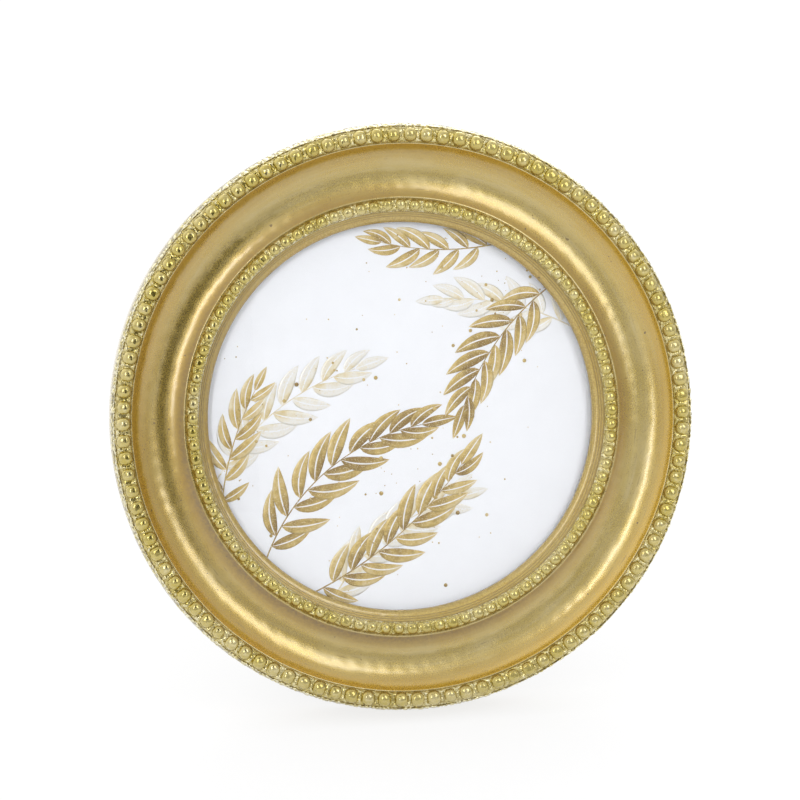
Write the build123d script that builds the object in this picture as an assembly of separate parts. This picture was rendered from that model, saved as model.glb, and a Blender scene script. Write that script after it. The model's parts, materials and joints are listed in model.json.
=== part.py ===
# Round table-top photo frame: a cast beaded ring, its glazing stack and a back board with an easel leg.
# Every piece is drawn with the frame lying on its back: X to the right, Y up the standing frame and
# Z out of its front, with the origin at the centre of the ring's flat back face. The last section
# opens the leg, leans the frame back on it and stands the whole on the table.
from build123d import *
import os
from math import cos, pi, radians, sin

# Glazing stack, from the front to the back
print_diameter = 101.6
glass_thickness = 2.0
print_thickness = 0.35
filler_thickness = 1.0
board_thickness = 3.0
rebate_clearance = 0.5

# Widths of the moulding's members, from the sight edge outwards
sight_overlap = 2.3
lip_width = 2.7
inner_strip_width = 3.3
arris_width = 0.35
cove_width = 13.0
outer_strip_width = 4.0
rim_width = 0.6
shoulder_width = 0.45
wall_draft = 0.8

# Heights of the moulding's members above the face that the glass seats on
sight_edge_height = 0.9
lip_height = 2.1
lip_step_height = 0.4
lip_step_width = 0.55
lip_nose_sagitta = 0.3
inner_strip_height = 3.65
outer_strip_height = 6.65
arris_height = 0.3
rim_height = 0.45
cove_sagitta = 2.85

# The rim stands over a rounded shoulder, which is the ring's widest place
rim_stand = 1.0
shoulder_drop = 1.4

# Bead rows: diameters, gaps between neighbours, and the rise of a bead's centre over its strip
inner_bead_diameter = 3.1
inner_bead_gap = 0.32
outer_bead_diameter = 3.85
outer_bead_gap = 0.31
bead_rise = 0.35

# How the frame stands
lean_angle = 15.0
leg_open_angle = 25.0

# Easel leg and its butt hinge
hinge_height = 14.0
leg_thickness = 2.4
leg_top_width = 22.0
leg_foot_width = 42.0
leg_corner = 3.0
leg_gap = 0.1
leaf_thickness = 0.8
leaf_width = 20.0
leaf_corner = 2.5
board_leaf_length = 13.0
leg_leaf_length = 16.0
centre_knuckle_length = 8.0
knuckle_gap = 0.15
hinge_clearance = 0.05
pin_radius = 0.8
pin_clearance = 0.03

# Rivets of the hinge leaves and of the hanger
rivet_radius = 1.1
rivet_clearance = 0.05
rivet_head_radius = 2.0
rivet_head_height = 0.6
rivet_head_round = 0.5
rivet_flare_radius = 1.8
rivet_flare_depth = 0.5
rivet_spacing = 11.0

# Turn buttons and their screws
button_count = 4
button_first_angle = 45.0
button_thickness = 0.8
button_width = 7.0
button_setback = 8.0
button_bite = 3.5
button_clearance = 0.05
screw_radius = 1.2
screw_clearance = 0.05
screw_grip = 6.0
screw_head_radius = 2.6
screw_head_height = 1.5
screw_head_round = 1.2
screw_slot_width = 0.7
screw_slot_depth = 0.7

# Wall hanger: a folded strap and a triangular wire ring
hanger_gap = 2.0
ring_wire_radius = 0.8
ring_clearance = 0.06
ring_bar_length = 15.0
ring_drop = 12.0
ring_corner = 1.8
strap_thickness = 0.5
strap_width = 6.5
strap_length = 14.0
strap_end_margin = 4.0

# Radii of the members, worked out from the print
print_radius = print_diameter / 2
rebate_radius = print_radius + rebate_clearance
sight_radius = print_radius - sight_overlap
lip_radius = sight_radius + lip_width
inner_strip_radius = lip_radius + inner_strip_width
cove_inner_radius = inner_strip_radius + arris_width
cove_outer_radius = cove_inner_radius + cove_width
outer_strip_inner_radius = cove_outer_radius + arris_width
outer_strip_radius = outer_strip_inner_radius + outer_strip_width
rim_radius = outer_strip_radius + rim_width
outer_radius = rim_radius + shoulder_width
back_radius = outer_radius - wall_draft

# Levels of the stack and of the members
filler_front = board_thickness + filler_thickness
print_front = filler_front + print_thickness
glass_front = print_front + glass_thickness
inner_strip_level = glass_front + inner_strip_height
outer_strip_level = glass_front + outer_strip_height

# Hinge axis: the knuckle fills the depth of the closed leg and its leaf
leg_front = -leg_gap
leg_back = leg_front - leg_thickness
leg_leaf_back = leg_back - leaf_thickness
knuckle_radius = (-leg_leaf_back - hinge_clearance) / 2
hinge_level = -hinge_clearance - knuckle_radius
knuckle_room = knuckle_radius + knuckle_gap
board_rivet_y = hinge_height + (board_leaf_length + knuckle_room) / 2
leg_rivet_y = hinge_height - (leg_leaf_length + knuckle_room) / 2

# Turn buttons pivot on the ring and bite over the board
button_pivot_radius = rebate_radius + button_setback
button_reach = button_setback + rebate_clearance + button_bite
button_back = -button_clearance - button_thickness

# The hanger stands clear above the hinge: its strap's two layers below, its loop against the board
hanger_height = hinge_height + board_leaf_length + hanger_gap + strap_length
loop_inner_radius = ring_wire_radius + ring_clearance
loop_outer_radius = loop_inner_radius + strap_thickness
strap_back = -2 * strap_thickness
strap_rivet_y = hanger_height - strap_length + strap_end_margin


def slab(low, high, outline):
    """A flat outline given thickness between two levels."""
    return extrude(Pos(0, 0, low) * outline, high - low)


def bead_row(radius, level, diameter, gap):
    """Round beads along a strip, as many as their spacing leaves room for."""
    count = round(2 * pi * radius / (diameter + gap))
    places = PolarLocations(radius, count, start_angle=-90)
    return [Pos(0, 0, level + bead_rise) * place * Sphere(diameter / 2) for place in places]


def moulding_profile():
    """Half section of the ring: radius across, level up."""
    step_two = lip_radius - lip_step_width
    step_one = step_two - lip_step_width
    sight_edge = glass_front + sight_edge_height
    nose = glass_front + lip_height
    cove_top = outer_strip_level + arris_height
    cove_foot = inner_strip_level + arris_height
    rim_top = outer_strip_level + rim_height
    lower = Polyline(
        (step_one, nose),
        (step_one, nose + lip_step_height),
        (step_two, nose + lip_step_height),
        (step_two, nose + 2 * lip_step_height),
        (lip_radius, nose + 2 * lip_step_height),
        (lip_radius, inner_strip_level),
        (inner_strip_radius, inner_strip_level),
        (inner_strip_radius, cove_foot),
        (cove_inner_radius, cove_foot),
    )
    cove = SagittaArc((cove_inner_radius, cove_foot), (cove_outer_radius, cove_top), -cove_sagitta)
    upper = Polyline(
        (cove_outer_radius, cove_top),
        (outer_strip_inner_radius, cove_top),
        (outer_strip_inner_radius, outer_strip_level),
        (outer_strip_radius, outer_strip_level),
        (outer_strip_radius, rim_top),
    )
    rim = SagittaArc((outer_strip_radius, rim_top), (rim_radius, rim_top), rim_width / 2)
    rim_foot = (rim_radius, rim_top - rim_stand)
    rim_wall = Line((rim_radius, rim_top), rim_foot)
    widest = (outer_radius, rim_top - rim_stand - shoulder_drop)
    shoulder = TangentArc(widest, rim_foot, tangent=(0, 1))
    back = Polyline(
        widest,
        (back_radius, 0),
        (rebate_radius, 0),
        (rebate_radius, glass_front),
        (sight_radius, glass_front),
        (sight_radius, sight_edge),
    )
    nose_round = SagittaArc((sight_radius, sight_edge), (step_one, nose), lip_nose_sagitta)
    outline = lower + cove + upper + rim + rim_wall + shoulder + back + nose_round
    return make_face(Plane.XZ * outline)


def button_places():
    """Pivots of the turn buttons on the ring's back, X pointing outwards."""
    return PolarLocations(button_pivot_radius, button_count, start_angle=button_first_angle)


def frame_moulding():
    ring = revolve(moulding_profile(), Axis.Z)
    inner_row = bead_row((lip_radius + inner_strip_radius) / 2, inner_strip_level,
                         inner_bead_diameter, inner_bead_gap)
    outer_row = bead_row((outer_strip_inner_radius + outer_strip_radius) / 2, outer_strip_level,
                         outer_bead_diameter, outer_bead_gap)
    pilot = slab(0, screw_grip + screw_clearance, Circle(screw_radius + screw_clearance))
    return ring - [place * pilot for place in button_places()] + inner_row + outer_row


def disc(low, high):
    """One round layer of the stack in the rebate."""
    return slab(low, high, Circle(print_radius))


def rivet_pair(y):
    """Places of two rivets side by side across the frame."""
    return [Pos(x, y) for x in (-rivet_spacing / 2, rivet_spacing / 2)]


def rivet_hole(low, high):
    """Clearance hole for a rivet's shank."""
    return slab(low, high, Circle(rivet_radius + rivet_clearance))


def rivet_seat(level):
    """Recess that takes a rivet's flared end, opening at the given level."""
    return slab(level - rivet_flare_depth, level, Circle(rivet_flare_radius + rivet_clearance))


def domed_head(level, radius, height, edge_round):
    """A fastener's head standing back from the given level, its outer edge well rounded."""
    head = slab(level - height, level, Circle(radius))
    return fillet(head.edges().group_by(Axis.Z)[0], edge_round)


def rivet(head_level, flare_level):
    """A domed head on the outside, a shank and a flared end flush on the inside."""
    shank = slab(head_level, flare_level, Circle(rivet_radius))
    flare = slab(flare_level - rivet_flare_depth, flare_level, Circle(rivet_flare_radius))
    return domed_head(head_level, rivet_head_radius, rivet_head_height, rivet_head_round) + shank + flare


def back_board():
    holes = rivet_pair(board_rivet_y) + [Pos(0, strap_rivet_y)]
    board = disc(0, board_thickness)
    board -= [place * rivet_hole(0, board_thickness) for place in holes]
    return board - [place * rivet_seat(board_thickness) for place in holes]


def knuckle(length, x):
    """A barrel of the hinge, bored later with the rest of its leaf."""
    return Pos(x, hinge_height, hinge_level) * Rot(0, 90, 0) * Cylinder(knuckle_radius, length)


def pin_bore():
    """Room for the pin through both leaves."""
    bore = Cylinder(pin_radius + pin_clearance, leaf_width)
    return Pos(0, hinge_height, hinge_level) * Rot(0, 90, 0) * bore


def leaf_outline(length):
    """A hinge leaf seen flat, its straight edge on the hinge axis and its far corners rounded."""
    plate = Pos(0, length / 2) * Rectangle(leaf_width, length)
    return fillet(plate.vertices().group_by(Axis.Y)[-1], leaf_corner)


def board_hinge_leaf():
    side_length = (leaf_width - centre_knuckle_length) / 2 - knuckle_gap
    side_x = (leaf_width - side_length) / 2
    notch = Rectangle(centre_knuckle_length + 2 * knuckle_gap, 2 * knuckle_room)
    plate = Pos(0, hinge_height) * slab(-leaf_thickness, 0, leaf_outline(board_leaf_length) - notch)
    leaf = plate + knuckle(side_length, -side_x) + knuckle(side_length, side_x) - pin_bore()
    return leaf - [place * rivet_hole(-leaf_thickness, 0) for place in rivet_pair(board_rivet_y)]


def stop_tail_length():
    """The tail above the pin meets the board leaf when the leg is fully open."""
    swing = radians(leg_open_angle)
    tail_inside = hinge_level - leg_back
    leaf_outside = -leaf_thickness - hinge_level - hinge_clearance
    return (leaf_outside + tail_inside * cos(swing)) / sin(swing)


def leg_hinge_leaf():
    tail = stop_tail_length()
    side_width = (leaf_width - centre_knuckle_length) / 2
    notch = Rectangle(side_width, 2 * knuckle_room)
    notch_x = (leaf_width - side_width) / 2
    outline = Rot(0, 0, 180) * leaf_outline(leg_leaf_length)
    outline -= [Pos(x, 0) * notch for x in (-notch_x, notch_x)]
    outline += Pos(0, tail / 2) * Rectangle(centre_knuckle_length, tail)
    plate = Pos(0, hinge_height) * slab(leg_leaf_back, leg_back, outline)
    leaf = plate + knuckle(centre_knuckle_length, 0) - pin_bore()
    return leaf - [place * rivet_hole(leg_leaf_back, leg_back) for place in rivet_pair(leg_rivet_y)]


def hinge_pin():
    return Pos(0, hinge_height, hinge_level) * Rot(0, 90, 0) * Cylinder(pin_radius, leaf_width)


def easel_leg():
    """The closed leg widens from the hinge to the ring's edge and runs on; its foot is trimmed later."""
    top = hinge_height - knuckle_room
    foot = -2 * back_radius
    outline = make_face(Polyline(
        (-leg_top_width / 2, top),
        (leg_top_width / 2, top),
        (leg_foot_width / 2, -back_radius),
        (leg_foot_width / 2, foot),
        (-leg_foot_width / 2, foot),
        (-leg_foot_width / 2, -back_radius),
        close=True,
    ))
    outline = fillet(outline.vertices().group_by(Axis.Y)[-1], leg_corner)
    leg = slab(leg_back, leg_front, outline)
    holes = rivet_pair(leg_rivet_y)
    leg -= [place * rivet_hole(leg_back, leg_front) for place in holes]
    return leg - [place * rivet_seat(leg_front) for place in holes]


def turn_button():
    """A flat tongue drawn at its pivot, pointing to the middle of the frame."""
    length = button_reach + button_width / 2
    tongue = Pos((button_width - length) / 2, 0) * SlotOverall(length, button_width)
    return slab(button_back, -button_clearance, tongue - Circle(screw_radius + screw_clearance))


def turn_button_screws():
    head_level = button_back - button_clearance
    head = domed_head(head_level, screw_head_radius, screw_head_height, screw_head_round)
    slot = Box(2 * screw_head_radius, screw_slot_width, 2 * screw_slot_depth)
    slot = Pos(0, 0, head_level - screw_head_height) * slot
    screw = head + slab(head_level, screw_grip, Circle(screw_radius)) - slot
    return [place * screw for place in button_places()]


def hanger_strap():
    side = Pos(0, -strap_length / 2) * Rectangle(2 * strap_thickness, strap_length)
    side = Pos(loop_outer_radius - strap_thickness, 0) * side + Circle(loop_outer_radius)
    side -= Circle(loop_inner_radius)
    strap = extrude(Plane(origin=(0, hanger_height, -loop_outer_radius), x_dir=(0, 0, 1), z_dir=(-1, 0, 0))
                    * side, strap_width / 2, both=True)
    return strap - Pos(0, strap_rivet_y) * rivet_hole(strap_back, 0)


def hanger_ring():
    """A wire triangle hanging from its bar, drawn with the bar on the X axis."""
    half = ring_bar_length / 2
    triangle = make_face(Polyline((-half, 0), (half, 0), (0, -ring_drop), close=True))
    path = fillet(triangle.vertices(), ring_corner).face().outer_wire()
    return sweep(Plane(origin=path @ 0, z_dir=path % 0) * Circle(ring_wire_radius), path)


def about_x(y, z, angle):
    """A turn about a line along X."""
    return Pos(0, y, z) * Rot(angle, 0, 0) * Pos(0, -y, -z)


def standing_pieces():
    """All pieces with the leg open and the ring leaning back on the table."""
    opened = about_x(hinge_height, hinge_level, leg_open_angle)
    hung = Pos(0, hanger_height, -loop_outer_radius) * Rot(lean_angle, 0, 0)
    leaned = Pos(0, 0, back_radius * cos(radians(lean_angle))) * Rot(90 - lean_angle, 0, 0)
    board_rivets = [place * rivet(-leaf_thickness, board_thickness) for place in rivet_pair(board_rivet_y)]
    leg_rivets = [place * rivet(leg_leaf_back, leg_front) for place in rivet_pair(leg_rivet_y)]
    pieces = {
        "frame_moulding": frame_moulding(),
        "glass_pane": disc(print_front, glass_front),
        "photo_insert": disc(filler_front, print_front),
        "filler_card": disc(board_thickness, filler_front),
        "back_board": back_board(),
        "board_hinge_leaf": board_hinge_leaf(),
        "board_hinge_rivets": Compound(board_rivets),
        "hinge_pin": hinge_pin(),
        "leg_hinge_leaf": opened * leg_hinge_leaf(),
        "leg_hinge_rivets": opened * Compound(leg_rivets),
        "easel_leg": opened * easel_leg(),
        "hanger_strap": hanger_strap(),
        "hanger_rivet": Pos(0, strap_rivet_y) * rivet(strap_back, board_thickness),
        "hanger_ring": hung * hanger_ring(),
        "turn_button_screws": Compound(turn_button_screws()),
    }
    for number, place in enumerate(button_places(), start=1):
        pieces[f"turn_button_{number}"] = place * turn_button()
    placed = {name: leaned * piece for name, piece in pieces.items()}
    placed["easel_leg"] = split(placed["easel_leg"], Plane.XY, keep=Keep.TOP)
    return placed


# The origin is the middle of the standing frame's footprint box, on the table
pieces = standing_pieces()
box = Compound(list(pieces.values())).bounding_box()
os.makedirs("parts", exist_ok=True)
for name, piece in pieces.items():
    piece = Pos(0, -box.center().Y, 0) * piece
    piece.label = name
    export_step(piece, f"parts/{name}.step")
    print(name, len(piece.solids()), round(piece.volume, 1))
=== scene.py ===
import json
import math
import bpy
import numpy as np
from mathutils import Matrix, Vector


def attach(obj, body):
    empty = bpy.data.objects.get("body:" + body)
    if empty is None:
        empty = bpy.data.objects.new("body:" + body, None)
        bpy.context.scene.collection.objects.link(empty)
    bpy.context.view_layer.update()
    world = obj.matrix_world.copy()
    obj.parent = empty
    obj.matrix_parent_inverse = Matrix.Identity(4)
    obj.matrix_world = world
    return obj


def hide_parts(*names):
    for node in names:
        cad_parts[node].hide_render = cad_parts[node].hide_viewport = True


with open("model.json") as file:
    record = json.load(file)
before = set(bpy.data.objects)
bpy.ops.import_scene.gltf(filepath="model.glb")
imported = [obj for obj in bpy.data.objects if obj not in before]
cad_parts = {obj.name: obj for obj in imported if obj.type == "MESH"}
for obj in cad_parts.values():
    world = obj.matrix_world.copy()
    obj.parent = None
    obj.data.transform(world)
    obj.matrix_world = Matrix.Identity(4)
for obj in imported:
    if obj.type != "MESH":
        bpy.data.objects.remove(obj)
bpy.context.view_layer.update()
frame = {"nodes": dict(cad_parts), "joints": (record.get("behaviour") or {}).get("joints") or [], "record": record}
mm = 0.001
dice = np.random.default_rng(406)
print("frame loaded:", len(frame["nodes"]), "nodes")

# the ring's own frame: its turn buttons pivot round its back, on axes that point out of its front
pivots = [j for j in frame["joints"] if j["name"].startswith("turn_button")]
sideways = np.array((1.0, 0.0, 0.0))
frontward = np.array(pivots[0]["axis"], float)
frontward /= np.linalg.norm(frontward)
upward = np.cross(frontward, sideways)
leanAngle = math.degrees(math.asin(frontward[2]))


def nodePoints(name):
    # every corner of a CAD node's mesh, as one array
    mesh = frame["nodes"][name].data
    flat = np.empty(3 * len(mesh.vertices), np.float32)
    mesh.vertices.foreach_get("co", flat)
    return flat.reshape(-1, 3).astype(float)


pivotMiddle = np.mean([j["pos_m"] for j in pivots], axis=0)
boardHeights = (nodePoints("back_board") - pivotMiddle) @ frontward
backCentre = pivotMiddle + frontward * boardHeights.min()


def nodeLevels(name):
    # back and front of a node, in millimetres along the ring's axis from its flat back
    heights = (nodePoints(name) - backCentre) @ frontward / mm
    return heights.min(), heights.max()


def inRow(x, y, z):
    # a point of the ring's frame in millimetres: across, up the face and out of the front
    x, y, z = np.broadcast_arrays(x, y, z)
    return backCentre + mm * (x[..., None] * sideways + y[..., None] * upward + z[..., None] * frontward)


def gridFaces(rows, columns, closeRows=False, closeColumns=False):
    # quads between neighbours of a grid; a closed direction joins its last line to its first
    i = np.arange(rows if closeRows else rows - 1)[:, None]
    j = np.arange(columns if closeColumns else columns - 1)[None, :]
    iNext, jNext = (i + 1) % rows, (j + 1) % columns
    corners = [i * columns + j, iNext * columns + j, iNext * columns + jNext, i * columns + jNext]
    return np.stack(np.broadcast_arrays(*corners), axis=-1).reshape(-1, 4)


def discGrid(count):
    # a square grid bent into a unit disc: each square ring of it becomes a circle
    line = np.linspace(-1, 1, count)
    a, b = np.meshgrid(line, line, indexing="ij")
    wide = np.abs(a) > np.abs(b)
    big, small = np.where(wide, a, b), np.where(wide, b, a)
    turn = math.pi / 4 * np.divide(small, big, out=np.zeros_like(big), where=big != 0)
    return big * np.where(wide, np.cos(turn), np.sin(turn)), big * np.where(wide, np.sin(turn), np.cos(turn))


def outwardFaces(points, faces):
    # the quads of a closed surface, turned over where the volume inside them comes out negative
    p = points - points.mean(axis=0)
    a, b, c, d = (p[faces[:, k]] for k in range(4))
    volume = np.sum(a * np.cross(b, c)) + np.sum(a * np.cross(c, d))
    return faces[:, ::-1] if volume < 0 else faces


def turnedSurface(radius, turn, level):
    # points and quads of a closed outline carried once round the ring's axis
    points = inRow(radius * np.cos(turn), radius * np.sin(turn), level).reshape(-1, 3)
    return points, outwardFaces(points, gridFaces(*level.shape, True, True))


def copiedFaces(one, size, count):
    # the quads of one grid, repeated for copies that have so many points each
    return (one[None] + size * np.arange(count)[:, None, None]).reshape(-1, 4)


def meshPiece(name, points, faces, attributes=None):
    # one object at the origin from an array of points and an array of quads
    mesh = bpy.data.meshes.new(name)
    points = np.asarray(points, float).reshape(-1, 3)
    mesh.vertices.add(len(points))
    mesh.vertices.foreach_set("co", points.astype(np.float32).ravel())
    mesh.loops.add(faces.size)
    mesh.loops.foreach_set("vertex_index", faces.astype(np.int32).ravel())
    mesh.polygons.add(len(faces))
    mesh.polygons.foreach_set("loop_start", np.arange(0, faces.size, 4, dtype=np.int32))
    for label, values in (attributes or {}).items():
        values = np.asarray(values, np.float32)
        isVector = values.ndim > 1 and values.shape[-1] == 3
        layer = mesh.attributes.new(label, "FLOAT_VECTOR" if isVector else "FLOAT", "POINT")
        layer.data.foreach_set("vector" if isVector else "value", values.ravel())
    mesh.update(calc_edges=True)
    mesh.validate()
    mesh.shade_smooth()
    piece = bpy.data.objects.new(name, mesh)
    bpy.context.scene.collection.objects.link(piece)
    return piece


def stepsRound(count, start=0.0):
    # even steps once round the axis
    return start + 2 * math.pi * np.arange(count) / count


def ramp(value, low, high):
    # 0 up to the low end, 1 from the high end on, straight between them
    return np.clip((value - low) / (high - low), 0, 1)


def lumps(turn, across, count, rounds, slopes, seed):
    # an uneven skin: a sum of sine waves with whole numbers of rounds, so that it closes on itself
    pick = np.random.default_rng(seed)
    height = np.zeros(np.broadcast_shapes(turn.shape, across.shape))
    for _ in range(count):
        phase = pick.integers(*rounds) * turn + pick.uniform(*slopes) * across + pick.uniform(0, 2 * math.pi)
        height += np.sin(phase)
    return height / math.sqrt(count)


grainField = dict(waves=48, highest=1.3)


def grains(turn, across, size, middle, seed):
    # domes parted by narrow valleys: the unsigned height of a field of waves twice the grains' size
    pitch = math.pi / size
    rounds = int(pitch * middle)
    field = lumps(turn, across, grainField["waves"], (-rounds, rounds), (-pitch, pitch), seed)
    return np.abs(field).clip(0, grainField["highest"]) / grainField["highest"]


# Gilded ring

ring = dict(
    sight=48.5, lip=51.2, rebate=51.3, innerStrip=54.5, coveInner=54.85, coveOuter=68.05, stripStart=68.3,
    stripEnd=72.2, rimEdge=72.8, wallDraft=0.8, sightEdge=0.9, nose=2.1, noseBulge=0.3, stepHeight=0.4,
    stepWidth=0.55, innerLevel=3.65, outerLevel=6.65, arris=0.3, rimHeight=0.45, rimStand=1.0,
    shoulderDrop=1.4, coveDepth=2.85, cornerCut=0.13, mostCut=0.4, turns=880, shoulderSteps=6, wallSteps=9,
    rollSteps=7, coveSteps=26, noseSteps=8,
)
skin = dict(
    sway=dict(count=14, rounds=(2, 30), slopes=(-0.5, 0.5), seed=11), swayHeight=0.03,
    dimple=dict(count=40, rounds=(30, 110), slopes=(-1.6, 1.6), seed=12), dimpleHeight=0.014,
    overSeat=(0.3, 1.2), offWall=(0.5, 0.9), pastStrip=(-0.1, 0.0), overFoot=(0.2, 0.8),
)
# wear on the ring, and light painted on it: highlights on the cove's outer arris and edge and on the lip's lower
# half, shade on the lip's left, on the cove's inner edge towards the lower left and on the outer cove towards the
# upper left, and an orange reflection on the cove's left
wearAndPaintedLight = dict(
    streakRounds=5, beforeArris=0.2, pastArris=0.05, arrisRubAndPaintedHighlight=1.0, cornerRub=0.3, lipRub=0.4, lipFootPaintedHighlight=0.3,
    lipLevel=0.6, lipHollow=0.45, hollow=0.3, lipPaintedShade=0.4, lipPaintedShadeTurn=math.pi - 0.25, rimStain=0.6,
    covePaintedShade=0.24, covePaintedShadeFade=(0.04, 0.3), outerCovePaintedShade=0.16, outerCoveShadeTurn=2.1, outerCoveShadeStart=(0.35, 0.6),
    toningInner=0.34, toningOuter=0.42, lipToning=0.6, leftPaintedReflection=0.35, leftReflectionTurn=3.4, edgeHighlightStart=(0.86, 0.98),
    rearFade=(0.3, 2.5),
)
rim = dict(
    turns=2500, rows=22, size=0.8, relief=0.3, sunk=0.25, reach=0.3, start=0.5, wallRun=1.5, setBack=0.36,
    endRows=2.2, seed=31, rub=1.6, peaks=(0.35, 0.75), pits=(0.12, 0.4), pit=1.0,
)
seatLevel = nodeLevels("glass_pane")[1]
outerRadius = nodePoints("frame_moulding")[:, 0].max() / mm
innerStripLevel = seatLevel + ring["innerLevel"]
outerStripLevel = seatLevel + ring["outerLevel"]
rimTop = outerStripLevel + ring["rimHeight"]
rimFoot = rimTop - ring["rimStand"]
widestLevel = rimFoot - ring["shoulderDrop"]
shoulderWidth = outerRadius - ring["rimEdge"]
rollHeight = (ring["rimEdge"] - ring["stripEnd"]) / 2


def bulge(start, end, rise, count):
    # points on the circle through both ends that rises to the left of the way from start to end
    start, end = np.array(start, float), np.array(end, float)
    half = np.linalg.norm(end - start) / 2
    along = (end - start) / (2 * half)
    left = np.array((-along[1], along[0])) * np.sign(rise)
    radius = (half ** 2 + rise ** 2) / (2 * abs(rise))
    angle = np.linspace(-1, 1, count) * math.asin(min(1.0, half / radius))
    centre = (start + end) / 2 - left * (radius - abs(rise))
    return centre + radius * (np.sin(angle)[:, None] * along + np.cos(angle)[:, None] * left)


def easedOutline(points, hard):
    # each hard corner is cut back both ways and bridged by a quadratic curve; other points stay
    before, after = np.roll(points, 1, axis=0) - points, np.roll(points, -1, axis=0) - points
    back, ahead = (
        (hard * np.minimum(ring["cornerCut"], ring["mostCut"] * length) / length)[:, None] * side
        for side, length in ((before, np.linalg.norm(before, axis=1)), (after, np.linalg.norm(after, axis=1)))
    )
    t = np.array((0.0, 0.5, 1.0))
    bridge = (1 - t[:, None]) ** 2 * back[:, None] + t[:, None] ** 2 * ahead[:, None]
    bend = np.sign(before[:, 1] * after[:, 0] - before[:, 0] * after[:, 1]) * hard
    kept = np.stack((hard, np.ones_like(hard), hard), axis=1).astype(bool)
    return (points[:, None] + bridge)[kept], (bend[:, None] + 0 * t)[kept]


def ringSection():
    # half section of the moulding, radius across and level up, once round from the back
    r = ring
    stepTwo = r["lip"] - r["stepWidth"]
    stepOne = stepTwo - r["stepWidth"]
    nose, edge = seatLevel + r["nose"], seatLevel + r["sightEdge"]
    stepLevel, lipLevel = nose + r["stepHeight"], nose + 2 * r["stepHeight"]
    coveTop, coveFoot = outerStripLevel + r["arris"], innerStripLevel + r["arris"]
    shoulderRadius = (shoulderWidth ** 2 + r["shoulderDrop"] ** 2) / (2 * shoulderWidth)
    fall = np.linspace(0, math.asin(r["shoulderDrop"] / shoulderRadius), r["shoulderSteps"])
    shoulder = np.stack((outerRadius - shoulderRadius * (1 - np.cos(fall)),
                         widestLevel + shoulderRadius * np.sin(fall)), axis=1)
    wall = np.linspace(0, 1, r["wallSteps"])[1:-1, None]
    foot = np.array((outerRadius - r["wallDraft"], 0.0))
    cove = bulge((r["coveOuter"], coveTop), (r["coveInner"], coveFoot), r["coveDepth"], r["coveSteps"])
    runs = [
        ([(r["rebate"], 0), foot], 1),
        (foot * (1 - wall) + np.array((outerRadius, widestLevel)) * wall, 0),
        (shoulder[:-1], 0),
        ([(r["rimEdge"], rimFoot)], 1),
        (bulge((r["rimEdge"], rimTop), (r["stripEnd"], rimTop), -rollHeight, r["rollSteps"]), 0),
        ([(r["stripEnd"], outerStripLevel), (r["stripStart"], outerStripLevel)], 1),
        ([(r["stripStart"], coveTop), (r["coveOuter"], coveTop)], 1),
        (cove[1:-1], 0),
        ([(r["coveInner"], coveFoot)], 1),
        ([(r["innerStrip"], coveFoot), (r["innerStrip"], innerStripLevel), (r["lip"], innerStripLevel)], 1),
        ([(r["lip"], lipLevel), (stepTwo, lipLevel)], 1),
        ([(stepTwo, stepLevel), (stepOne, stepLevel), (stepOne, nose)], 1),
        (bulge((stepOne, nose), (r["sight"], edge), -r["noseBulge"], r["noseSteps"])[1:-1], 0),
        ([(r["sight"], edge), (r["sight"], seatLevel), (r["rebate"], seatLevel)], 1),
    ]
    points = np.concatenate([np.array(run, float).reshape(-1, 2) for run, hard in runs])
    hard = np.concatenate([np.full(len(run), hard, float) for run, hard in runs])
    return easedOutline(points, hard)


def facing(turn, way):
    # how far a place on the ring lies towards a given turn: 1 there, 0 on the other half
    return np.cos(turn - way).clip(0, 1)


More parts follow.
